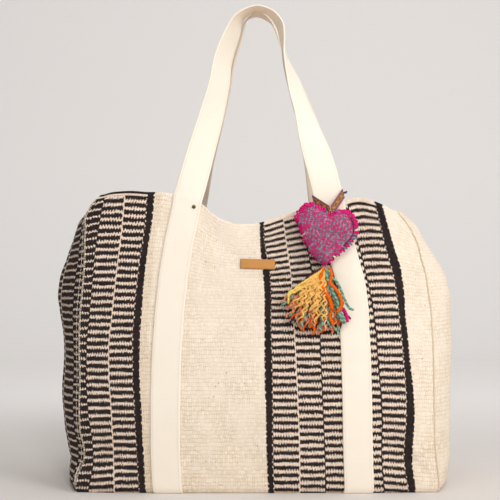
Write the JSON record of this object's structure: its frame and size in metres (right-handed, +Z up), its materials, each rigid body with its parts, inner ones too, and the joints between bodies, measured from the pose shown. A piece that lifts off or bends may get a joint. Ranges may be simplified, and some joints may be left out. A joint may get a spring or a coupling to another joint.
{
  "type": "carryall bag",
  "caption": "Open-topped woven cloth carryall on a flat base, with two arched webbing handles, a leather label and a heart charm with a tassel.",
  "frame": {"origin": "middle of the base, on the surface that the bag stands on", "axes": "+Z up towards the handles, +X to the right across the front, -Y out of the front that carries the label and the charm"},
  "size_m": [0.5398, 0.2172, 0.6492],
  "materials": {
    "cloth": "coarse hand-woven cotton, cream with black and cream stripes",
    "webbing": "matt cotton webbing with stitched edges",
    "leather": "smooth tan leather",
    "brass": "dark aged brass",
    "ribbon": "woven ribbon, maroon with yellow motifs",
    "heart": "magenta and grey woven cloth, padded",
    "yarn": "loose cotton yarn in orange, yellow, teal and maroon"
  },
  "bodies": {
    "root": {"front_panel": "cloth", "back_panel": "cloth", "left_gusset": "cloth", "right_gusset": "cloth", "base_panel": "cloth", "front_strap": "webbing", "back_strap": "webbing", "rivet_front_left": "brass", "rivet_front_right": "brass", "rivet_back_left": "brass", "rivet_back_right": "brass", "leather_label": "leather", "charm_ribbon": "ribbon", "charm_heart": "heart", "charm_tassel": "yarn"}
  },
  "joints": []
}
